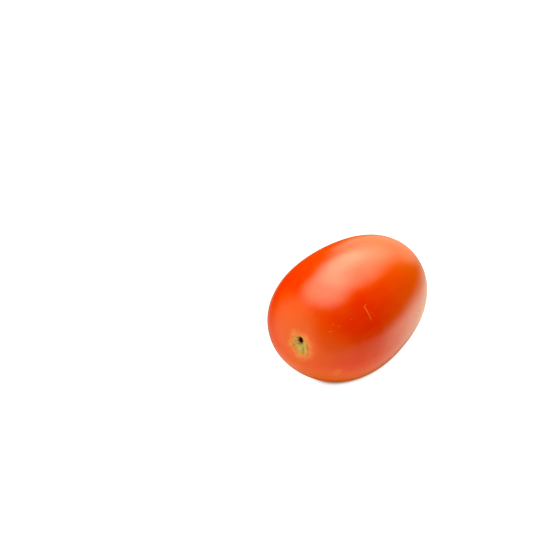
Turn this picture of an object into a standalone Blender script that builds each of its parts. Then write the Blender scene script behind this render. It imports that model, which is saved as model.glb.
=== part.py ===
"""A ripe plum tomato, picked, lying on its side on a small flat spot.

It is one solid, as it grew. At one end it has the corky scar that its stalk left, in a shallow
dimple, and at the other the small dry point of its flower. The fruit lies along X with the stem
end at -X, and +Z is up. The origin is on the surface that it rests on, under the middle of its
box. Sizes are in metres and angles in radians.
"""

import math

import bmesh
import bpy
import numpy as np
from mathutils import Matrix, Vector

# Body: a turned profile, blunter than an ellipse and fatter in the stem half
LENGTH = 0.078
WIDTH = 0.050
BLUNTNESS = 0.195
TAPER = 0.11
# Its axis curves a little to -Y in the middle
BOW = 0.0003
# Cross-section: wider than tall, with the faint ridges of three seed chambers
FLATTENING = 0.030
CHAMBERS = 3
CHAMBER_RIDGES = 0.013
TOP_RIDGE = math.radians(90)

# Stem end: a shallow dimple, deeper in five furrows where the sepals lay
DIMPLE_DEPTH = 0.0013
DIMPLE_RADIUS = 0.0050
SEPALS = 5
SEPAL_FURROW = 0.16
FIRST_SEPAL = math.radians(20)
# Scar in the dimple: a corky oval plate with a raised, wavy rim, its top leaning to +Y
SCAR_CENTRE = 0.0003, 0.0001
SCAR_HALF_WIDTH = 0.0031
SCAR_HALF_HEIGHT = 0.0036
SCAR_LEAN = math.radians(22)
SCAR_WAVE = 0.06
RIM_HEIGHT = 0.00026
RIM_WIDTH = 0.20
PLATE_SINK = 0.00015
# Pit in the plate, where the stalk's core tore out, near its top
PIT_CENTRE = -0.0002, 0.0020
PIT_HALF_WIDTH = 0.00062
PIT_HALF_HEIGHT = 0.00095
PIT_DEPTH = 0.0013

# Blossom end: a small dry point in a faint hollow
POINT_HEIGHT = 0.0007
POINT_RADIUS = 0.0009
HOLLOW_DEPTH = 0.0006
HOLLOW_RADIUS = 0.0042

# Flat spot that the weight presses into the underside
FLAT_DEPTH = 0.00025

# Mesh: even rings across the stem scar and the blossom point, longer ones between
SECTORS = 56
FINE_RING = 0.00027
FINE_STEM_RINGS = 18
FINE_BLOSSOM_RINGS = 5
RING_GROWTH = 1.3
LONG_RING = 0.0033

# Steps along the profile, and of the search for the tilt at which the fruit rests
PROFILE_STEPS = 2000
LARGEST_TILT = math.radians(12)
TILT_STEPS = 1200

SKIN_COLOUR = (0.80, 0.075, 0.012, 1.0)
SKIN_ROUGHNESS = 0.28


def axial(turn):
    """Place along X of the profile's point at this angle from the stem end."""
    return -LENGTH / 2 * np.cos(turn)


def radius(turn):
    """Radius of the turned profile at this angle from the stem end."""
    along = np.cos(turn)
    return WIDTH / 2 * np.sin(turn) * (1 + BLUNTNESS * along**2 + TAPER * along)


def section(around):
    """Radius of the cross-section, as a share of the turned one, at this angle from +Y to +Z."""
    flat = FLATTENING * math.cos(2 * around)
    ridges = CHAMBER_RIDGES * math.cos(CHAMBERS * (around - TOP_RIDGE))
    return 1 + flat + ridges


def bump(distance, width=1.0):
    """A smooth hump, 1 high at no distance and nearly 0 beyond twice its width."""
    return math.exp(-((distance / width) ** 2))


def oval(y, z, centre, half_width, half_height, lean=0.0):
    """Distance from the centre of a leaning oval, as a share of the oval's own radius there."""
    y, z = y - centre[0], z - centre[1]
    across = y * math.cos(lean) - z * math.sin(lean)
    up = y * math.sin(lean) + z * math.cos(lean)
    return math.hypot(across / half_width, up / half_height)


def stem_relief(y, z):
    """How far the stem end is pressed in, along X, at this place across its axis."""
    out = math.hypot(y, z)
    sepal_wave = math.cos(SEPALS * (math.atan2(z, y) - FIRST_SEPAL))
    furrow = 1 + SEPAL_FURROW * sepal_wave * min(1.0, out / DIMPLE_RADIUS)
    dimple = DIMPLE_DEPTH * furrow * bump(out, DIMPLE_RADIUS)
    scar = oval(y, z, SCAR_CENTRE, SCAR_HALF_WIDTH, SCAR_HALF_HEIGHT, SCAR_LEAN)
    scar *= 1 + SCAR_WAVE * sepal_wave
    rim = RIM_HEIGHT * bump(scar - 1, RIM_WIDTH)
    plate = PLATE_SINK * bump(scar)
    pit = PIT_DEPTH * bump(oval(y, z, PIT_CENTRE, PIT_HALF_WIDTH, PIT_HALF_HEIGHT))
    return dimple - rim + plate + pit


def blossom_relief(y, z):
    """How far the blossom end is pressed in, along X, at this place across its axis."""
    out = math.hypot(y, z)
    return HOLLOW_DEPTH * bump(out, HOLLOW_RADIUS) - POINT_HEIGHT * bump(out, POINT_RADIUS)


def shaped(place):
    """Takes a point of the turned body to the fruit's real surface, before it is laid down."""
    x, y, z = place
    share = section(math.atan2(z, y))
    y, z = y * share, z * share
    if x < 0:
        pressed = x + stem_relief(y, z)
    else:
        pressed = x - blossom_relief(y, z)
    bow = BOW * (1 - (2 * x / LENGTH) ** 2)
    return Vector((pressed, y - bow, z))


def ring_angles():
    """Angles from the stem end at which the mesh has a ring, closer together at both ends."""
    turns = np.linspace(0, math.pi, PROFILE_STEPS + 1)
    pieces = np.hypot(np.diff(axial(turns)), np.diff(radius(turns)))
    lengths = np.concatenate(([0.0], np.cumsum(pieces)))
    growths = int(math.log(LONG_RING / FINE_RING, RING_GROWTH))
    growing = [FINE_RING * RING_GROWTH**k for k in range(1, growths + 1)]
    stem_end = [FINE_RING] * FINE_STEM_RINGS + growing
    blossom_end = [FINE_RING] * FINE_BLOSSOM_RINGS + growing
    middle = lengths[-1] - sum(stem_end) - sum(blossom_end)
    count = round(middle / LONG_RING)
    steps = stem_end + [middle / count] * count + blossom_end[::-1]
    return np.interp(np.cumsum(steps)[:-1], lengths, turns)


def rest_tilt():
    """Turn about Y at which the middle of the weight lies lowest over the underside."""
    turns = np.linspace(0, math.pi, PROFILE_STEPS + 1)
    x = axial(turns)
    slices = radius(turns) ** 2 * np.sin(turns)
    weight_x = (x * slices).sum() / slices.sum()
    underside_z = -section(-TOP_RIDGE) * radius(turns)

    def height(tilt):
        lowest = (underside_z * math.cos(tilt) - x * math.sin(tilt)).min()
        return -weight_x * math.sin(tilt) - lowest

    return min(np.linspace(-LARGEST_TILT, LARGEST_TILT, TILT_STEPS + 1), key=height)


def skin_material():
    """Glossy orange-red skin."""
    material = bpy.data.materials.new("tomato_skin")
    material.use_nodes = True
    shader = material.node_tree.nodes["Principled BSDF"]
    shader.inputs["Base Color"].default_value = SKIN_COLOUR
    shader.inputs["Roughness"].default_value = SKIN_ROUGHNESS
    shader.inputs["Metallic"].default_value = 0.0
    return material


def turn_profile(bm):
    """Spins half of the fruit's outline about X into a closed body."""
    stem_end = Vector((-LENGTH / 2, 0, 0))
    outline = [stem_end] + [Vector((axial(t), radius(t), 0)) for t in ring_angles()] + [-stem_end]
    corners = [bm.verts.new(place) for place in outline]
    edges = [bm.edges.new(pair) for pair in zip(corners, corners[1:])]
    bmesh.ops.spin(
        bm,
        geom=corners + edges,
        cent=(0, 0, 0),
        axis=(1, 0, 0),
        angle=math.tau,
        steps=SECTORS,
        use_merge=True,
    )
    bmesh.ops.remove_doubles(bm, verts=bm.verts, dist=FINE_RING / 100)


def press_flat(bm):
    """Cuts the small flat spot and sets the fruit down on it, over the origin."""
    floor = min(v.co.z for v in bm.verts) + FLAT_DEPTH
    cut = bmesh.ops.bisect_plane(
        bm,
        geom=bm.verts[:] + bm.edges[:] + bm.faces[:],
        dist=FLAT_DEPTH / 1000,
        plane_co=(0, 0, floor),
        plane_no=(0, 0, -1),
        clear_outer=True,
    )
    edge = [e for e in cut["geom_cut"] if isinstance(e, bmesh.types.BMEdge)]
    bmesh.ops.edgeloop_fill(bm, edges=edge)
    xs = [v.co.x for v in bm.verts]
    ys = [v.co.y for v in bm.verts]
    middle = Vector(((min(xs) + max(xs)) / 2, (min(ys) + max(ys)) / 2, floor))
    bmesh.ops.translate(bm, vec=-middle, verts=bm.verts)


def build_tomato():
    """The whole fruit, one closed solid."""
    bm = bmesh.new()
    turn_profile(bm)
    for vertex in bm.verts:
        vertex.co = shaped(vertex.co)
    bmesh.ops.transform(bm, matrix=Matrix.Rotation(rest_tilt(), 4, "Y"), verts=bm.verts)
    press_flat(bm)
    bmesh.ops.recalc_face_normals(bm, faces=bm.faces)
    mesh = bpy.data.meshes.new("tomato")
    bm.to_mesh(mesh)
    bm.free()
    mesh.materials.append(skin_material())
    mesh.shade_smooth()
    tomato = bpy.data.objects.new("tomato", mesh)
    bpy.context.scene.collection.objects.link(tomato)


def main():
    for old in list(bpy.data.objects):
        bpy.data.objects.remove(old)
    build_tomato()


main()
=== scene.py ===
"""The looks of a ripe plum tomato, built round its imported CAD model.

One fine mesh stands in for the CAD solid, with the same form, a finer relief at the stem scar and
slow waves in the skin. Its skin is a procedural material. Lengths are in metres, or in millimetres
where a name ends in _MM or _mm, and angles are in radians unless a comment says degrees. The fruit
is shaped in a frame of its own, with its axis along X and its stem end at -X, and is then tilted
and set down as it rests.
"""

import math

import bpy
import numpy as np
from mathutils import Matrix, Vector, noise


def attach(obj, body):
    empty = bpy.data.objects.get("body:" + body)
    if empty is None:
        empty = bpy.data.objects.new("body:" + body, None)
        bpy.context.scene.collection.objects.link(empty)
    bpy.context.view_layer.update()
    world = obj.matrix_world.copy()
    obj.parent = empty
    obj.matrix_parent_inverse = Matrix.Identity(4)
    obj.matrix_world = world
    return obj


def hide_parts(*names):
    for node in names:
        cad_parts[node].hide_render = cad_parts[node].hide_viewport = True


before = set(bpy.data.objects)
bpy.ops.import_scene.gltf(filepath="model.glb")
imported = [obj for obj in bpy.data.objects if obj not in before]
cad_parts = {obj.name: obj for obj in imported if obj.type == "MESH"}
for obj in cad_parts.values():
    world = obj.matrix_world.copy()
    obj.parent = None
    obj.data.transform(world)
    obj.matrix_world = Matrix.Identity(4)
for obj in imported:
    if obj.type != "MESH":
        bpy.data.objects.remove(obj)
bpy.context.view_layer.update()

# Body, as in the CAD model
LENGTH = 0.078
WIDTH = 0.050
BLUNTNESS = 0.195
TAPER = 0.11
BOW = 0.0003
FLATTENING = 0.030
CHAMBERS = 3
CHAMBER_RIDGES = 0.013
TOP_RIDGE = math.radians(90)

# Stem end: the dimple, rim and plate as in the CAD model, the scar and its pit placed more closely
DIMPLE_DEPTH = 0.0013
DIMPLE_RADIUS = 0.0050
SEPALS = 5
SEPAL_FURROW = 0.16
FIRST_SEPAL = math.radians(20)
SCAR_CENTRE = -0.0003, 0.0001
SCAR_HALF_WIDTH = 0.0030
SCAR_HALF_HEIGHT = 0.0035
SCAR_LEAN = math.radians(16)
SCAR_WAVE = 0.06
RIM_HEIGHT = 0.00026
RIM_WIDTH = 0.20
PLATE_SINK = 0.00015
PIT_CENTRE = 0.0, 0.0019
PIT_HALF_WIDTH = 0.00088
PIT_HALF_HEIGHT = 0.00138
PIT_DEPTH = 0.0013

# Finer relief of the scar. Cracks run out from the pit, stains lie near the rim and veins below the
# pit. Each is a stroke from one place to another, as Y and Z across the axis, with its half width
CRACKS = [
    ((0.0004, 0.0030), (0.0015, 0.0029), 0.00022),
    ((0.0006, 0.0016), (0.0021, 0.0011), 0.00013),
    ((0.0001, -0.0002), (0.0014, 0.0003), 0.00017),
    ((0.0022, -0.0004), (0.0027, -0.0014), 0.00020),
    ((-0.0013, 0.0022), (-0.0020, 0.0018), 0.00012),
]
CRACK_DEPTH = 0.00014
STAINS = [
    ((-0.0039, 0.0002), (-0.0039, -0.0024), 0.00040),
    ((-0.0037, -0.0028), (-0.0037, -0.0034), 0.00050),
    ((0.0031, 0.0002), (0.0023, -0.0014), 0.00036),
    ((0.0019, -0.0026), (0.0004, -0.0044), 0.00036),
    ((0.0022, 0.0034), (0.0030, 0.0022), 0.00036),
]
STAIN_DEPTH = 0.00010
# A wide faint vein, then a narrow clear one
GREEN_VEINS = [
    ((-0.0010, 0.0006), (-0.0013, -0.0008), 0.00080),
    ((-0.0013, -0.0009), (-0.0016, -0.0025), 0.00046),
]
WIDE_VEIN_SHARE = 0.4
GREEN_DEPTH = 0.00010
# All strokes waver by noise of this size
STROKE_SWAY = 0.00022
STROKE_GRAIN = 900.0
STROKE_OCTAVES = 3
# A crease runs round the rim, at this share of the scar's radius
CREASE_AT = 1.06
CREASE_WIDTH = 0.08
CREASE_DEPTH = 0.00008
# The plate is rough, up to an edge that fades between these shares of the scar's radius
CORK_DEPTH = 0.00011
CORK_GRAIN = 1900.0
CORK_EDGE = 0.95, 1.25
# All this noise is worked out up to this share of the scar's radius. Each finer layer of it is
# weaker by the fall and smaller by the step
FINE_REACH = 2
GRAIN_FALL = 0.8
GRAIN_STEP = 2.0

# Blossom end, as in the CAD model
POINT_HEIGHT = 0.0007
POINT_RADIUS = 0.0009
HOLLOW_DEPTH = 0.0006
HOLLOW_RADIUS = 0.0042

# Skin: slow waves in its surface, and the flat spot below with a soft edge
WAVE_HEIGHT = 0.00007
WAVE_GRAIN = 95.0
FLAT_DEPTH = 0.00025
FLAT_EDGE = 0.00002

# Mesh of the fruit
SECTORS = 224
FINE_RING = 0.00007
FINE_STEM_RINGS = 78
FINE_BLOSSOM_RINGS = 24
RING_GROWTH = 1.09
LONG_RING = 0.00056
# The last points are this angle off the ends of the axis
POLE_GAP = 1e-6
# What the distance from one end's middle reads on the other half of the fruit
FAR = 99.0

# Steps along the profile, and of the search for the tilt at which the fruit rests
PROFILE_STEPS = 4000
LARGEST_TILT = math.radians(12)
TILT_STEPS = 1200

# Flat layout of the skin for its texture: a band, and a disc for each end
CAP_ARC = 0.010
BAND_LOW = 0.40
BAND_HIGH = 0.995
STEM_DISC = 0.19, 0.19
BLOSSOM_DISC = 0.58, 0.19
DISC_RADIUS = 0.18

# Camera, at the photograph's angle, with the middle of the fruit's axis at its place in the frame
FRAME_PX = 550
FRUIT_PX = 352.1, 303.0
SENSOR_MM = 36.0
LENS_MM = 70.0
CAMERA_BEARING = math.radians(-56.3)
CAMERA_RISE = math.radians(32.0)
CAMERA_DISTANCE = 0.4167

# Soft light: wide lobes, each round a bearing from the camera's right and a height. Each is full
# within its inner angle and gone at its outer one, all in degrees
LOBES = [
    {"bearing": -158, "height": 78, "inner": 1, "outer": 46, "glow": 3.4},
    {"bearing": -70, "height": 50, "inner": 16, "outer": 39, "glow": 2.3},
    {"bearing": 166, "height": 3, "inner": 9, "outer": 60, "glow": 0.84},
    {"bearing": -82, "height": 41, "inner": 10, "outer": 18, "glow": 1.75},
    {"bearing": -71, "height": 9, "inner": 19, "outer": 27, "glow": 0.85},
    {"bearing": 105, "height": 28, "inner": 5, "outer": 65, "glow": 0.14},
]
LIGHT_TINT = (1.0, 0.97, 0.70, 1.0)
BACKDROP_LIGHT = 1.0
WHITE = (1.0, 1.0, 1.0, 1.0)

# Floor: its glow is what the camera sees, and its bounce is what it throws up at the fruit
FLOOR_SIZE = 12.0
FLOOR_ALBEDO = 0.35
FLOOR_ROUGHNESS = 0.9
FLOOR_GLOW = 0.98
FLOOR_BOUNCE = 0.92

# The fruit's own shade on the floor is an oval. Each pair is where it fades out, as shares of the
# oval's half sizes: crisp for the camera, softer below the narrow end, and softest in the bounce
FOOT_CENTRE = 0.006, 0.0
FOOT_HALF = 0.030, 0.016
FOOT_SHADE = 0.90, 1.035
NARROW_SHADE = 0.15, 1.10
SHADE_CENTRE = 0.004, -0.003
SOFT_SHADE = 0.95, 1.70
# The crisp shade gives way to the soft one between these two places along X
NARROW_END = -0.004, 0.018
# Glow and tint in the darkest part
FOOT_GLOW = 0.1
FOOT_TINT = (1.0, 0.60, 0.50, 1.0)

# Pools of light on the floor beside the fruit, one inside the other, which its gloss mirrors. Each
# is full within its inner radius and gone at its outer one
POOLS = [
    {"inner": 0.0, "outer": 0.09, "glow": 1.12},
    {"inner": 0.09, "outer": 0.21, "glow": 0.58},
]
POOL_CENTRE = 0.055, -0.059
POOL_SIZE = 0.6
POOL_TINT = (0.80, 0.96, 0.80, 1.0)

# Display: a plain curve with a soft toe, as pairs of light in and light shown, on the curve that
# acts on all three colours together
ALL_COLOURS = 3
DISPLAY_TOE = [(0.02, 0.003), (0.05, 0.0306), (0.12, 0.102)]


def linear(red, green, blue):
    """A colour given in the 0 to 255 of a screen, as the light it stands for."""
    shares = [value / 255 for value in (red, green, blue)]
    lights = [s / 12.92 if s < 0.04045 else ((s + 0.055) / 1.055) ** 2.4 for s in shares]
    return (*lights, 1.0)


SKIN_RED = linear(237, 60, 2)
SKIN_ORANGE = linear(237, 86, 2)
SKIN_GOLD = linear(232, 122, 36)
SKIN_BLOSSOM = linear(237, 92, 4)
# Painted bounce light from the floor, paler orange on the belly
BELLY_PAINTED_BOUNCE = linear(237, 108, 4)
SKIN_PALE = linear(255, 122, 84)
HALO = linear(244, 132, 50)
RIM_TAN = linear(236, 146, 62)
CORK = linear(220, 156, 74)
CORK_PALE = linear(200, 176, 104)
# Cork brown, for the cracks and also for the painted shade in the crease and at the pit's mouth
CORK_BROWN_AND_SHADE = linear(146, 98, 30)
STAIN = linear(198, 112, 30)
GREEN = linear(126, 140, 40)
# Painted shade inside the pit
PIT_PAINTED_SHADE = linear(66, 30, 8)
TIP_BROWN = linear(120, 66, 26)

# Noise in the materials: its scale per metre, detail, roughness and any stretch along the axes
DRIFT_NOISE = 55, 2.0, 0.5
MOTTLE_NOISE = 160, 2.0, 0.5
STREAK_NOISE = 500, 1.0, 0.5, (0.10, 1, 1)
FINE_NOISE = 1500, 3.0, 0.6
BROAD_NOISE = 520, 2.0, 0.5
TIP_NOISE = 900, 3.0, 0.6
WAX_NOISE = 130, 2.0, 0.5
PEEL_NOISE = 450, 1.0, 0.5

# Fades of the colours: the two values that a colour fades in between, then, where it doesn't go
# from none to all, its lowest and highest share. The skin's tones go by place along the fruit, -1
# at the stem end and 1 at the blossom end, and by height for the belly, where a paler orange is
# painted bounce light from the floor
DRIFT = 0.4
STEM_FADE = -0.76, -1.05
BLOSSOM_FADE = -0.76, 0.60
BELLY_BOUNCE_FADE = 0.022, 0.008, 0.0, 0.8
MOTTLE_FADE = 0.4, 0.75, 0.0, 0.07
STREAK_FADE = 0.5, 0.75, 0.0, 0.06

# Pale specks: one in some of the cells of a grid, chosen by each cell's random number
SPECK_SCALE = 200.0
SPECK_FADE = 0.05, 0.015
SPECK_CHOICE = 0.80, 0.84
SPECK_SHARE = 0.15

# The scar's colours go by distance from its middle, as a share of its radius, with a ragged and
# uneven edge. The stains, the painted shade in the crease and the pale cork also break up by noise
EDGE_RAG = 0.5
EDGE_SWAY = 0.9
HALO_FADE = 2.1, 1.15, 0.0, 0.7
RIM_FADE = 1.5, 1.05, 0.0, 0.8
PLATE_FADE = 1.15, 0.75
PALE_FADE = 0.95, 0.45, 0.0, 0.9
PALE_BREAKS = 0.52, 0.72, 0.0, 0.4
# Painted shade along the crease round the rim, broken up by noise
CREASE_SHADE_FADE = 0.11, 0.02
CREASE_SHADE_BREAKS = 0.42, 0.58, 0.0, 0.6
STAIN_BREAKS = 0.35, 0.6, 0.35, 0.75
GREEN_SHARE = 0.8
CRACK_SHARE = 0.8
# Painted shade darkening into the pit: cork brown at its mouth, dark inside
PIT_MOUTH_SHADE_FADE = 1.7, 1.0, 0.0, 0.7
PIT_SHADE_FADE = 1.25, 0.7

# The dry blossom point and the halo round it go by distance in mm, with a ragged edge
TIP_RAG_MM = 1.6
TIP_FADE = 1.3, 0.5
TIP_HALO_FADE = 3.4, 0.9, 0.0, 0.5

# Gloss, as roughness: wax shifts it from one amount to another with its noise, marks add to it, and
# it gives way to dry cork at the scar's edge and at the blossom point
SKIN_ROUGHNESS = 0.25
SKIN_IOR = 1.68
GLOSS_TINT = (0.8, 1.0, 0.96, 1.0)
WAX_FADE = 0.2, 0.8, -0.03, 0.015
MARK_ROUGHNESS = 0.2
CORK_ROUGHNESS = 0.85
DRY_FADE = 1.2, 0.95
# The skin's faint peel, as bumps
PEEL_STRENGTH = 0.04
PEEL_HEIGHT = 0.0002

# Marks on the skin: a scratch with a hook at its top, in three stretches, then small pale flecks.
# Each runs between two places, given as mm of skin from the stem end and degrees round from +Y to
# +Z. A mark fades out between two distances, as shares of its half width, and noise frays it
MARKS = [
    {"from": (30.9, 137.1), "to": (30.0, 138.3), "half_mm": 0.20, "share": 0.45},
    {"from": (30.0, 138.3), "to": (30.0, 145.0), "half_mm": 0.27, "share": 0.60},
    {"from": (30.0, 145.0), "to": (29.9, 151.1), "half_mm": 0.27, "share": 0.42},
    {"from": (13.8, 140.8), "to": (14.7, 142.4), "half_mm": 0.22, "share": 0.22},
    {"from": (16.3, 135.4), "to": (16.7, 135.4), "half_mm": 0.24, "share": 0.2},
    {"from": (17.8, 141.0), "to": (18.1, 141.8), "half_mm": 0.22, "share": 0.22},
    {"from": (22.8, 141.2), "to": (23.2, 141.2), "half_mm": 0.18, "share": 0.2},
    {"from": (31.5, 146.2), "to": (31.6, 146.6), "half_mm": 0.20, "share": 0.2},
    {"from": (31.8, 149.2), "to": (31.9, 149.6), "half_mm": 0.20, "share": 0.2},
    {"from": (59.6, 176.2), "to": (59.8, 176.6), "half_mm": 0.30, "share": 0.25},
]
BLOTCH = {"from": (17.0, 210.0), "to": (17.2, 215.0), "half_mm": 1.3, "share": 0.35}
MARK_FADE = 1.6, 0.5
MARK_FRAY = 0.0004
MARK_FRAY_NOISE = {"Scale": 2600.0, "Detail": 2.0}


def bump(distance, width=1.0):
    """A smooth hump, 1 high at no distance and nearly 0 beyond twice its width."""
    return np.exp(-((distance / width) ** 2))


def ease(value, low, high):
    """0 up to low, 1 from high, and a smooth rise between."""
    share = np.clip((value - low) / (high - low), 0, 1)
    return share * share * (3 - 2 * share)


def axial(turn):
    """Place along X of the profile's point at this angle from the stem end."""
    return -LENGTH / 2 * np.cos(turn)


def radius(turn):
    """Radius of the turned profile at this angle from the stem end."""
    along = np.cos(turn)
    return WIDTH / 2 * np.sin(turn) * (1 + BLUNTNESS * along**2 + TAPER * along)


def section(around):
    """Radius of the cross-section, as a share of the turned one, at this angle from +Y to +Z."""
    flat = FLATTENING * np.cos(2 * around)
    return 1 + flat + CHAMBER_RIDGES * np.cos(CHAMBERS * (around - TOP_RIDGE))


def arc_lengths(turns):
    """Length along the profile from the stem end to each of these angles."""
    pieces = np.hypot(np.diff(axial(turns)), np.diff(radius(turns)))
    return np.concatenate(([0.0], np.cumsum(pieces)))


def oval(y, z, centre, half_width, half_height, lean=0.0):
    """Distance from the centre of a leaning oval, as a share of the oval's own radius there."""
    y, z = y - centre[0], z - centre[1]
    across = y * math.cos(lean) - z * math.sin(lean)
    up = y * math.sin(lean) + z * math.cos(lean)
    return np.hypot(across / half_width, up / half_height)


def from_line(y, z, start, end):
    """Distance from a straight stretch between two points."""
    run = np.subtract(end, start)
    share = ((y - start[0]) * run[0] + (z - start[1]) * run[1]) / (run @ run)
    share = np.clip(share, 0, 1)
    return np.hypot(y - start[0] - share * run[0], z - start[1] - share * run[1])


def grain(y, z, size, octaves=5):
    """Fractal noise over the stem scar, about -1 to 1."""
    places = zip((y * size).ravel(), (z * size).ravel())
    values = [noise.fractal(Vector((a, b, 0.0)), GRAIN_FALL, GRAIN_STEP, octaves) for a, b in places]
    return np.array(values).reshape(y.shape)


def stem_fields(y, z):
    """What lies where on the stem end: each field is a number for every point there."""
    out = np.hypot(y, z)
    sepal_wave = np.cos(SEPALS * (np.arctan2(z, y) - FIRST_SEPAL))
    scar = oval(y, z, SCAR_CENTRE, SCAR_HALF_WIDTH, SCAR_HALF_HEIGHT, SCAR_LEAN)
    scar = scar * (1 + SCAR_WAVE * sepal_wave)
    near = scar < FINE_REACH
    swayed_y, swayed_z = y.copy(), z.copy()
    swayed_y[near] += STROKE_SWAY * grain(y[near], z[near], STROKE_GRAIN, STROKE_OCTAVES)
    swayed_z[near] += STROKE_SWAY * grain(z[near], -y[near], STROKE_GRAIN, STROKE_OCTAVES)
    cracks, stains, veins = [
        [bump(from_line(swayed_y, swayed_z, start, end), width) for start, end, width in strokes]
        for strokes in (CRACKS, STAINS, GREEN_VEINS)
    ]
    wide_vein, narrow_vein = veins
    return {
        "out": out,
        "sepal_wave": sepal_wave,
        "scar": scar,
        "pit": oval(y, z, PIT_CENTRE, PIT_HALF_WIDTH, PIT_HALF_HEIGHT),
        "cracks": np.minimum(sum(cracks), 1),
        "stains": np.minimum(sum(stains), 1),
        "green": np.maximum(WIDE_VEIN_SHARE * wide_vein, narrow_vein),
    }


def stem_relief(at, y, z):
    """How far the stem end is pressed in, along X, from the fields there."""
    furrow = 1 + SEPAL_FURROW * at["sepal_wave"] * np.minimum(1, at["out"] / DIMPLE_RADIUS)
    pressed = DIMPLE_DEPTH * furrow * bump(at["out"], DIMPLE_RADIUS)
    pressed -= RIM_HEIGHT * bump(at["scar"] - 1, RIM_WIDTH)
    pressed += PLATE_SINK * bump(at["scar"])
    pressed += PIT_DEPTH * bump(at["pit"])
    on_plate = 1 - ease(at["scar"], *CORK_EDGE)
    near = at["scar"] < FINE_REACH
    rough = np.zeros_like(y)
    rough[near] = grain(y[near], z[near], CORK_GRAIN)
    pressed += CORK_DEPTH * on_plate * rough
    pressed += CRACK_DEPTH * at["cracks"] + STAIN_DEPTH * at["stains"] + GREEN_DEPTH * at["green"]
    return pressed + CREASE_DEPTH * bump(at["scar"] - CREASE_AT, CREASE_WIDTH)


def blossom_relief(out):
    """How far the blossom end is pressed in, along X, at this distance from its axis."""
    return HOLLOW_DEPTH * bump(out, HOLLOW_RADIUS) - POINT_HEIGHT * bump(out, POINT_RADIUS)


def rest_tilt():
    """Turn about Y at which the middle of the weight lies lowest over the underside."""
    turns = np.linspace(0, math.pi, PROFILE_STEPS + 1)
    x = axial(turns)
    slices = radius(turns) ** 2 * np.sin(turns)
    weight_x = (x * slices).sum() / slices.sum()
    underside_z = -section(-TOP_RIDGE) * radius(turns)

    def height(tilt):
        lowest = (underside_z * math.cos(tilt) - x * math.sin(tilt)).min()
        return -weight_x * math.sin(tilt) - lowest

    return min(np.linspace(-LARGEST_TILT, LARGEST_TILT, TILT_STEPS + 1), key=height)


def ring_angles():
    """Angles from the stem end at which the mesh has a ring, closer together at both ends."""
    turns = np.linspace(0, math.pi, PROFILE_STEPS + 1)
    lengths = arc_lengths(turns)
    growths = int(math.log(LONG_RING / FINE_RING, RING_GROWTH))
    growing = [FINE_RING * RING_GROWTH**k for k in range(1, growths + 1)]
    stem_end = [FINE_RING] * FINE_STEM_RINGS + growing
    blossom_end = [FINE_RING] * FINE_BLOSSOM_RINGS + growing
    middle = lengths[-1] - sum(stem_end) - sum(blossom_end)
    count = round(middle / LONG_RING)
    steps = stem_end + [middle / count] * count + blossom_end[::-1]
    return np.interp(np.cumsum(steps)[:-1], lengths, turns)


def skin_waves(points):
    """Small push in or out of the skin at each point, for its slow waves."""
    return WAVE_HEIGHT * np.array([noise.noise(Vector(p) * WAVE_GRAIN) for p in points])


def grown_points(turn, around):
    """Points of the fruit in its own frame, and the fields that its material reads there."""
    x = axial(turn)
    share = radius(turn) * section(around)
    y = share * np.cos(around)
    z = share * np.sin(around)
    stem = x < 0
    at = stem_fields(y, z)
    pressed = np.where(stem, stem_relief(at, y, z), -blossom_relief(at["out"]))
    bow = BOW * (1 - (2 * x / LENGTH) ** 2)
    points = np.stack([x + pressed, y - bow, z], -1)
    outward = np.stack([x, y, z], -1)
    outward /= np.linalg.norm(outward, axis=1, keepdims=True)
    points += outward * skin_waves(points)[:, None]
    fields = {
        "ripeness": 2 * x / LENGTH,
        "scar": np.where(stem, at["scar"], FAR),
        "pit": np.where(stem, at["pit"], FAR),
        "cracks": np.where(stem, at["cracks"], 0),
        "stains": np.where(stem, at["stains"], 0),
        "green": np.where(stem, at["green"], 0),
        "tip_mm": np.where(stem, FAR, at["out"] * 1000),
    }
    return points, fields


def mark_places():
    """The two ends of each mark, as angles from the stem end and round the axis."""
    turns = np.linspace(0, math.pi, PROFILE_STEPS + 1)
    lengths_mm = arc_lengths(turns) * 1000
    ends = np.array([mark[end] for mark in MARKS + [BLOTCH] for end in ("from", "to")])
    return np.interp(ends[:, 0], lengths_mm, turns), np.radians(ends[:, 1])


def set_down(points):
    """Tilts the fruit, sets it on the floor over the origin and presses its flat spot."""
    turned = points @ np.array(Matrix.Rotation(rest_tilt(), 3, "Y")).T
    low, high = turned.min(0), turned.max(0)
    floor = low[2] + FLAT_DEPTH
    middle = np.array([(low[0] + high[0]) / 2, (low[1] + high[1]) / 2, floor])
    placed = turned - middle
    placed[:, 2] = FLAT_EDGE * np.logaddexp(0, placed[:, 2] / FLAT_EDGE)
    return placed, -middle


def fruit_corners(rings):
    """Corners of each face, as a ring and a sector: a fan at each end, with quads between."""
    faces = []
    for j in range(SECTORS):
        faces.append([(-1, j), (0, j + 1), (0, j)])
        faces += [[(i, j), (i, j + 1), (i + 1, j + 1), (i + 1, j)] for i in range(rings - 1)]
        faces.append([(rings, j), (rings - 1, j), (rings - 1, j + 1)])
    return faces


def vertex(rings, ring, sector):
    """Number of the vertex on this ring, or at a pole, in this sector."""
    if ring < 0:
        return rings * SECTORS
    if ring == rings:
        return rings * SECTORS + 1
    return ring * SECTORS + sector % SECTORS


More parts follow.
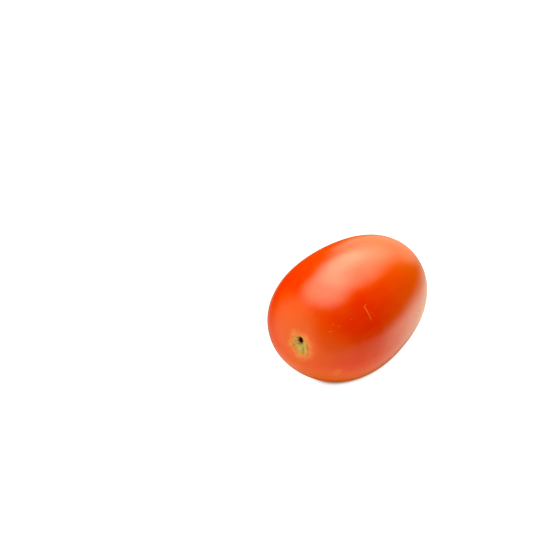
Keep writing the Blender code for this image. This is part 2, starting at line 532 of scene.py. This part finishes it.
def layout(corner_faces, turns):
    """Flat place of each corner of each face: a band for the body and a disc for each end."""
    arcs = arc_lengths(np.concatenate([[0], turns, [math.pi]]))
    whole = arcs[-1]
    flat = []
    for face in corner_faces:
        reach = [arcs[ring + 1] for ring, _ in face]
        for arc, (_, sector) in zip(reach, face):
            around = sector / SECTORS
            if max(reach) <= CAP_ARC:
                flat.append(on_disc(STEM_DISC, arc, around))
            elif min(reach) >= whole - CAP_ARC:
                flat.append(on_disc(BLOSSOM_DISC, whole - arc, -around))
            else:
                along = (arc - CAP_ARC) / (whole - 2 * CAP_ARC)
                flat.append((around, BAND_LOW + (BAND_HIGH - BAND_LOW) * along))
    return flat


def on_disc(centre, arc, around):
    """Flat place on a disc, at this length of skin from its pole and share of a turn round it."""
    out = DISC_RADIUS * arc / CAP_ARC
    turn = math.tau * around
    return centre[0] + out * math.cos(turn), centre[1] + out * math.sin(turn)


def make_fruit():
    """The whole tomato as one fine mesh, with the middle of its axis and the ends of its marks."""
    turns = ring_angles()
    rings = len(turns)
    arounds = -TOP_RIDGE + math.tau * np.arange(SECTORS) / SECTORS
    grid_turn, grid_around = [a.ravel() for a in np.meshgrid(turns, arounds, indexing="ij")]
    mark_turn, mark_around = mark_places()
    poles = [POLE_GAP, math.pi - POLE_GAP]
    points, fields = grown_points(
        np.concatenate([grid_turn, poles, mark_turn]),
        np.concatenate([grid_around, [0, 0], mark_around]),
    )
    placed, axis_middle = set_down(points)
    count = rings * SECTORS + 2
    corner_faces = fruit_corners(rings)
    mesh = bpy.data.meshes.new("tomato_fruit")
    faces = [[vertex(rings, *corner) for corner in face] for face in corner_faces]
    mesh.from_pydata(placed[:count].tolist(), [], faces)
    for name, values in fields.items():
        mesh.attributes.new(name, "FLOAT", "POINT").data.foreach_set("value", values[:count])
    flat = mesh.uv_layers.new(name="OFBake")
    flat.data.foreach_set("uv", np.ravel(layout(corner_faces, turns)))
    mesh.shade_smooth()
    fruit = bpy.data.objects.new("tomato_fruit", mesh)
    bpy.context.scene.collection.objects.link(fruit)
    return fruit, axis_middle, placed[count:].reshape(-1, 2, 3)


def add(tree, kind, inputs=None, **settings):
    """Adds a shader node, with its settings, and its inputs as plain values or linked sockets."""
    made = tree.nodes.new(kind)
    for name, value in settings.items():
        setattr(made, name, value)
    for name, value in (inputs or {}).items():
        if isinstance(value, bpy.types.NodeSocket):
            tree.links.new(value, made.inputs[name])
        else:
            made.inputs[name].default_value = value
    return made


def field(tree, name):
    """One of the mesh's own fields."""
    return add(tree, "ShaderNodeAttribute", attribute_name=name).outputs["Fac"]


def sums(tree, operation, first, second=0.0):
    """One step of arithmetic."""
    return add(tree, "ShaderNodeMath", {0: first, 1: second}, operation=operation).outputs[0]


def shift(tree, value, reach):
    """Noise from 0 to 1 as a shift of up to half this reach either way."""
    return sums(tree, "MULTIPLY", sums(tree, "SUBTRACT", value, 0.5), reach)


def vector_sums(tree, operation, first, second, output=0):
    """One step of arithmetic on vectors."""
    inputs = {0: first, 1: second}
    return add(tree, "ShaderNodeVectorMath", inputs, operation=operation).outputs[output]


def vector_scaled(tree, vector, scale):
    """A vector made longer or shorter."""
    inputs = {0: vector, "Scale": scale}
    return add(tree, "ShaderNodeVectorMath", inputs, operation="SCALE").outputs[0]


def blend(tree, share, first, second):
    """One number over another."""
    inputs = {"Factor": share, "A": first, "B": second}
    return add(tree, "ShaderNodeMix", inputs).outputs["Result"]


def rise(tree, value, low, high, bottom=0.0, top=1.0):
    """A smooth rise from bottom to top as the value goes from low to high."""
    reach = {"Value": value, "From Min": low, "From Max": high, "To Min": bottom, "To Max": top}
    return add(tree, "ShaderNodeMapRange", reach, interpolation_type="SMOOTHSTEP").outputs[0]


def mixed(tree, share, first, second):
    """One colour over another."""
    inputs = {"Factor": share, "A": first, "B": second}
    return add(tree, "ShaderNodeMix", inputs, data_type="RGBA").outputs["Result"]


def clouds(tree, place, scale, detail, roughness, stretch=(1, 1, 1)):
    """Smooth noise from 0 to 1 over the surface."""
    at = add(tree, "ShaderNodeMapping", {"Vector": place, "Scale": stretch}).outputs[0]
    look = {"Vector": at, "Scale": scale, "Detail": detail, "Roughness": roughness}
    return add(tree, "ShaderNodeTexNoise", look).outputs["Fac"]


def speckle(tree, place):
    """Sparse small dots, 1 at their middles."""
    look = {"Vector": place, "Scale": SPECK_SCALE, "Randomness": 1.0}
    cells = add(tree, "ShaderNodeTexVoronoi", look).outputs
    dot = rise(tree, cells["Distance"], *SPECK_FADE)
    chosen = add(tree, "ShaderNodeSeparateColor", {"Color": cells["Color"]}).outputs["Red"]
    return sums(tree, "MULTIPLY", dot, rise(tree, chosen, *SPECK_CHOICE))


def near_mark(tree, place, mark, ends):
    """1 along a straight stretch of the skin, fading out at the mark's edge, times its share."""
    start, end = [Vector(point) for point in ends]
    run = end - start
    away = vector_sums(tree, "SUBTRACT", place, start)
    part = vector_sums(tree, "DOT_PRODUCT", away, run / run.length_squared, "Value")
    part = add(tree, "ShaderNodeClamp", {"Value": part}).outputs[0]
    off = vector_sums(tree, "DISTANCE", away, vector_scaled(tree, run, part), "Value")
    none, full = [share * mark["half_mm"] / 1000 for share in MARK_FADE]
    return rise(tree, off, none, full, 0.0, mark["share"])


def skin_marks(tree, place, mark_ends):
    """The scratch and the flecks together, with ragged edges."""
    fray = add(tree, "ShaderNodeTexNoise", {"Vector": place, **MARK_FRAY_NOISE}).outputs["Color"]
    fray = vector_sums(tree, "SUBTRACT", fray, (0.5, 0.5, 0.5))
    ragged = vector_sums(tree, "ADD", place, vector_scaled(tree, fray, MARK_FRAY))
    total = 0.0
    for mark, ends in zip(MARKS, mark_ends):
        total = sums(tree, "MAXIMUM", near_mark(tree, ragged, mark, ends), total)
    return total


def skin_colour(tree, place):
    """Red, more orange at both ends, with painted bounce on the belly, faint streaks and pale specks.
    """
    drift = shift(tree, clouds(tree, place, *DRIFT_NOISE), DRIFT)
    along = sums(tree, "ADD", field(tree, "ripeness"), drift)
    height = add(tree, "ShaderNodeSeparateXYZ", {0: place}).outputs["Z"]
    mottle = clouds(tree, place, *MOTTLE_NOISE)
    streaks = clouds(tree, place, *STREAK_NOISE)
    colour = SKIN_RED
    for value, fade, tone in (
        (along, STEM_FADE, SKIN_ORANGE),
        (along, BLOSSOM_FADE, SKIN_BLOSSOM),
        # Painted bounce light from the floor: the belly turns paler orange towards the bottom
        (height, BELLY_BOUNCE_FADE, BELLY_PAINTED_BOUNCE),
        (mottle, MOTTLE_FADE, SKIN_GOLD),
        (streaks, STREAK_FADE, SKIN_GOLD),
    ):
        colour = mixed(tree, rise(tree, value, *fade), colour, tone)
    specks = sums(tree, "MULTIPLY", speckle(tree, place), SPECK_SHARE)
    return mixed(tree, specks, colour, SKIN_PALE)


def scar_colour(tree, place, skin):
    """The corky plate in its orange halo, with its rim, green veins, stains, cracks and painted shade
    in crease and pit.
    """
    fine = clouds(tree, place, *FINE_NOISE)
    broad = clouds(tree, place, *BROAD_NOISE)
    uneven = sums(tree, "ADD", shift(tree, fine, EDGE_RAG), shift(tree, broad, EDGE_SWAY))
    edge = sums(tree, "ADD", field(tree, "scar"), uneven)
    from_crease = sums(tree, "ABSOLUTE", sums(tree, "SUBTRACT", edge, CREASE_AT))
    crease_shade = rise(tree, from_crease, *CREASE_SHADE_FADE)
    pit = field(tree, "pit")
    cork = mixed(tree, rise(tree, edge, *PALE_FADE), CORK, CORK_PALE)
    cork = mixed(tree, rise(tree, fine, *PALE_BREAKS), cork, CORK)
    colour = skin
    for share, tone in (
        (rise(tree, edge, *HALO_FADE), HALO),
        (rise(tree, edge, *RIM_FADE), RIM_TAN),
        (rise(tree, edge, *PLATE_FADE), cork),
        # Painted shade along the crease round the rim, in cork brown
        (sums(tree, "MULTIPLY", crease_shade, rise(tree, broad, *CREASE_SHADE_BREAKS)), CORK_BROWN_AND_SHADE),
        (sums(tree, "MULTIPLY", field(tree, "green"), GREEN_SHARE), GREEN),
        (sums(tree, "MULTIPLY", field(tree, "stains"), rise(tree, fine, *STAIN_BREAKS)), STAIN),
        (sums(tree, "MULTIPLY", field(tree, "cracks"), CRACK_SHARE), CORK_BROWN_AND_SHADE),
        # Painted shade in the pit: brown at its mouth, then dark inside
        (rise(tree, pit, *PIT_MOUTH_SHADE_FADE), CORK_BROWN_AND_SHADE),
        (rise(tree, pit, *PIT_SHADE_FADE), PIT_PAINTED_SHADE),
    ):
        colour = mixed(tree, share, colour, tone)
    return colour


def skin_roughness(tree, place, marks, tip):
    """Waxy gloss, duller on the marks, and dry on the scar and the blossom point."""
    dry = sums(tree, "MAXIMUM", rise(tree, field(tree, "scar"), *DRY_FADE), tip)
    wax = rise(tree, clouds(tree, place, *WAX_NOISE), *WAX_FADE)
    gloss = sums(tree, "ADD", wax, SKIN_ROUGHNESS)
    gloss = sums(tree, "ADD", gloss, sums(tree, "MULTIPLY", marks, MARK_ROUGHNESS))
    return blend(tree, dry, gloss, CORK_ROUGHNESS)


def skin_material(mark_ends):
    """Glossy tomato skin with its marks, its stem scar and its dry blossom point."""
    material = bpy.data.materials.new("tomato_skin")
    material.use_nodes = True
    tree = material.node_tree
    shader = tree.nodes["Principled BSDF"]
    place = add(tree, "ShaderNodeTexCoord").outputs["Object"]
    marks = skin_marks(tree, place, mark_ends)
    skin = skin_colour(tree, place)
    skin = mixed(tree, near_mark(tree, place, BLOTCH, mark_ends[-1]), skin, SKIN_GOLD)
    skin = mixed(tree, marks, skin, SKIN_PALE)
    colour = scar_colour(tree, place, skin)
    ragged = shift(tree, clouds(tree, place, *TIP_NOISE), TIP_RAG_MM)
    from_tip = sums(tree, "ADD", field(tree, "tip_mm"), ragged)
    tip = rise(tree, from_tip, *TIP_FADE)
    colour = mixed(tree, rise(tree, from_tip, *TIP_HALO_FADE), colour, HALO)
    colour = mixed(tree, tip, colour, TIP_BROWN)
    peel = sums(tree, "ADD", clouds(tree, place, *PEEL_NOISE), marks)
    relief = {"Height": peel, "Strength": PEEL_STRENGTH, "Distance": PEEL_HEIGHT}
    tree.links.new(colour, shader.inputs["Base Color"])
    tree.links.new(skin_roughness(tree, place, marks, tip), shader.inputs["Roughness"])
    tree.links.new(add(tree, "ShaderNodeBump", relief).outputs[0], shader.inputs["Normal"])
    shader.inputs["IOR"].default_value = SKIN_IOR
    shader.inputs["Specular Tint"].default_value = GLOSS_TINT
    return material


def direction(bearing, height):
    """Direction at this bearing, in degrees from the camera's right round to the camera."""
    right = Vector((math.cos(CAMERA_BEARING), math.sin(CAMERA_BEARING), 0))
    near = Vector((math.sin(CAMERA_BEARING), -math.cos(CAMERA_BEARING), 0))
    turned, up = math.radians(bearing), math.radians(height)
    level = right * math.cos(turned) + near * math.sin(turned)
    return level * math.cos(up) + Vector((0, 0, math.sin(up)))


def camera_ray(tree):
    """1 where the camera itself looks, and 0 for light that reaches other surfaces."""
    return add(tree, "ShaderNodeLightPath").outputs["Is Camera Ray"]


def light_scene():
    """Soft sky lobes, like large soft boxes, and a pale backdrop that only the camera sees."""
    world = bpy.data.worlds.new("studio")
    world.use_nodes = True
    tree = world.node_tree
    tree.nodes.clear()
    way = add(tree, "ShaderNodeTexCoord").outputs["Generated"]
    total = 0.0
    for lobe in LOBES:
        centre = direction(lobe["bearing"], lobe["height"])
        closeness = vector_sums(tree, "DOT_PRODUCT", way, centre, "Value")
        edges = [math.cos(math.radians(lobe[edge])) for edge in ("outer", "inner")]
        total = sums(tree, "ADD", rise(tree, closeness, *edges, 0.0, lobe["glow"]), total)
    sky, backdrop = [
        add(tree, "ShaderNodeBackground", {"Strength": light, "Color": tint}).outputs[0]
        for light, tint in ((total, LIGHT_TINT), (BACKDROP_LIGHT, WHITE))
    ]
    shown = add(tree, "ShaderNodeMixShader", {0: camera_ray(tree), 1: sky, 2: backdrop}).outputs[0]
    add(tree, "ShaderNodeOutputWorld", {"Surface": shown})
    bpy.context.scene.world = world


def floor_share(tree, centre, halves):
    """Distance from a centre on the floor, as a share of an oval's half sizes."""
    place = add(tree, "ShaderNodeTexCoord").outputs["Object"]
    scale = 1 / halves[0], 1 / halves[1], 0
    start = -centre[0] * scale[0], -centre[1] * scale[1], 0
    at = add(tree, "ShaderNodeMapping", {"Vector": place, "Scale": scale, "Location": start}).outputs[0]
    return add(tree, "ShaderNodeVectorMath", {0: at}, operation="LENGTH").outputs["Value"]


def floor_glow(tree):
    """The glow that the camera sees, with a close shade, and the whole glow, with its soft bounce."""
    from_foot = floor_share(tree, FOOT_CENTRE, FOOT_HALF)
    crisp = rise(tree, from_foot, *FOOT_SHADE, FOOT_GLOW, FLOOR_GLOW)
    soft = rise(tree, from_foot, *NARROW_SHADE, FOOT_GLOW, FLOOR_GLOW)
    place = add(tree, "ShaderNodeTexCoord").outputs["Object"]
    along = add(tree, "ShaderNodeSeparateXYZ", {0: place}).outputs["X"]
    shown = blend(tree, rise(tree, along, *NARROW_END), crisp, soft)
    from_shade = floor_share(tree, SHADE_CENTRE, FOOT_HALF)
    bounce = rise(tree, from_shade, *SOFT_SHADE, FOOT_GLOW, FLOOR_BOUNCE)
    return shown, blend(tree, camera_ray(tree), bounce, shown)


def make_floor():
    """A plain pale floor with its own glow, so that it stays white and the shade stays faint."""
    bpy.ops.mesh.primitive_plane_add(size=FLOOR_SIZE)
    floor = bpy.context.active_object
    floor.name = "floor"
    material = bpy.data.materials.new("floor")
    material.use_nodes = True
    tree = material.node_tree
    shader = tree.nodes["Principled BSDF"]
    shown, glow = floor_glow(tree)
    tint = mixed(tree, rise(tree, shown, FOOT_GLOW, FLOOR_GLOW), FOOT_TINT, WHITE)
    tree.links.new(glow, shader.inputs["Emission Strength"])
    tree.links.new(tint, shader.inputs["Emission Color"])
    shader.inputs["Base Color"].default_value = (FLOOR_ALBEDO, FLOOR_ALBEDO, FLOOR_ALBEDO, 1)
    shader.inputs["Roughness"].default_value = FLOOR_ROUGHNESS
    floor.data.materials.append(material)
    floor.visible_glossy = False
    return floor


def make_pool():
    """A clear sheet on the floor that holds the pools of light, seen by the gloss alone."""
    bpy.ops.mesh.primitive_plane_add(size=POOL_SIZE)
    pool = bpy.context.active_object
    pool.name = "pool_of_light"
    pool.visible_camera = False
    pool.visible_diffuse = False
    pool.visible_shadow = False
    material = bpy.data.materials.new("pool_of_light")
    material.use_nodes = True
    tree = material.node_tree
    tree.nodes.clear()
    away = floor_share(tree, POOL_CENTRE, (1, 1))
    total = 0.0
    for pool_part in POOLS:
        glow = rise(tree, away, pool_part["outer"], pool_part["inner"], 0.0, pool_part["glow"])
        total = sums(tree, "ADD", glow, total)
    lit = rise(tree, floor_share(tree, SHADE_CENTRE, FOOT_HALF), *SOFT_SHADE, FOOT_GLOW, 1.0)
    total = sums(tree, "MULTIPLY", total, lit)
    light = add(tree, "ShaderNodeEmission", {"Strength": total, "Color": POOL_TINT}).outputs[0]
    clear = add(tree, "ShaderNodeBsdfTransparent").outputs[0]
    both = add(tree, "ShaderNodeAddShader", {0: light, 1: clear}).outputs[0]
    add(tree, "ShaderNodeOutputMaterial", {"Surface": both})
    pool.data.materials.append(material)
    return pool


def make_camera(axis_middle):
    """The camera, level, with the middle of the fruit's axis at its place in the frame."""
    back = Vector((
        math.sin(CAMERA_BEARING) * math.cos(CAMERA_RISE),
        -math.cos(CAMERA_BEARING) * math.cos(CAMERA_RISE),
        math.sin(CAMERA_RISE),
    ))
    right = Vector((math.cos(CAMERA_BEARING), math.sin(CAMERA_BEARING), 0))
    up = back.cross(right)
    metres_per_px = CAMERA_DISTANCE * SENSOR_MM / LENS_MM / FRAME_PX
    across, down = [(px - FRAME_PX / 2) * metres_per_px for px in FRUIT_PX]
    data = bpy.data.cameras.new("camera")
    data.lens = LENS_MM
    data.sensor_width = SENSOR_MM
    data.clip_start = CAMERA_DISTANCE / 10
    camera = bpy.data.objects.new("camera", data)
    camera.matrix_world = Matrix((right, up, back)).transposed().to_4x4()
    camera.location = Vector(axis_middle) - right * across + up * down + back * CAMERA_DISTANCE
    bpy.context.scene.collection.objects.link(camera)
    bpy.context.scene.camera = camera


def set_display():
    """Plain display colours, with slightly deeper darks that ease in along the toe."""
    view = bpy.context.scene.view_settings
    view.view_transform = "Standard"
    view.use_curve_mapping = True
    curve = view.curve_mapping.curves[ALL_COLOURS]
    for light, shown in DISPLAY_TOE:
        curve.points.new(light, shown)
    curve.points[len(DISPLAY_TOE)].handle_type = "VECTOR"
    curve.points[-1].handle_type = "VECTOR"
    view.curve_mapping.update()


fruit, axis_middle, mark_ends = make_fruit()
fruit.data.materials.append(skin_material(mark_ends))
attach(fruit, "root")
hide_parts("tomato")
make_floor()
make_pool()
light_scene()
make_camera(axis_middle)
set_display()
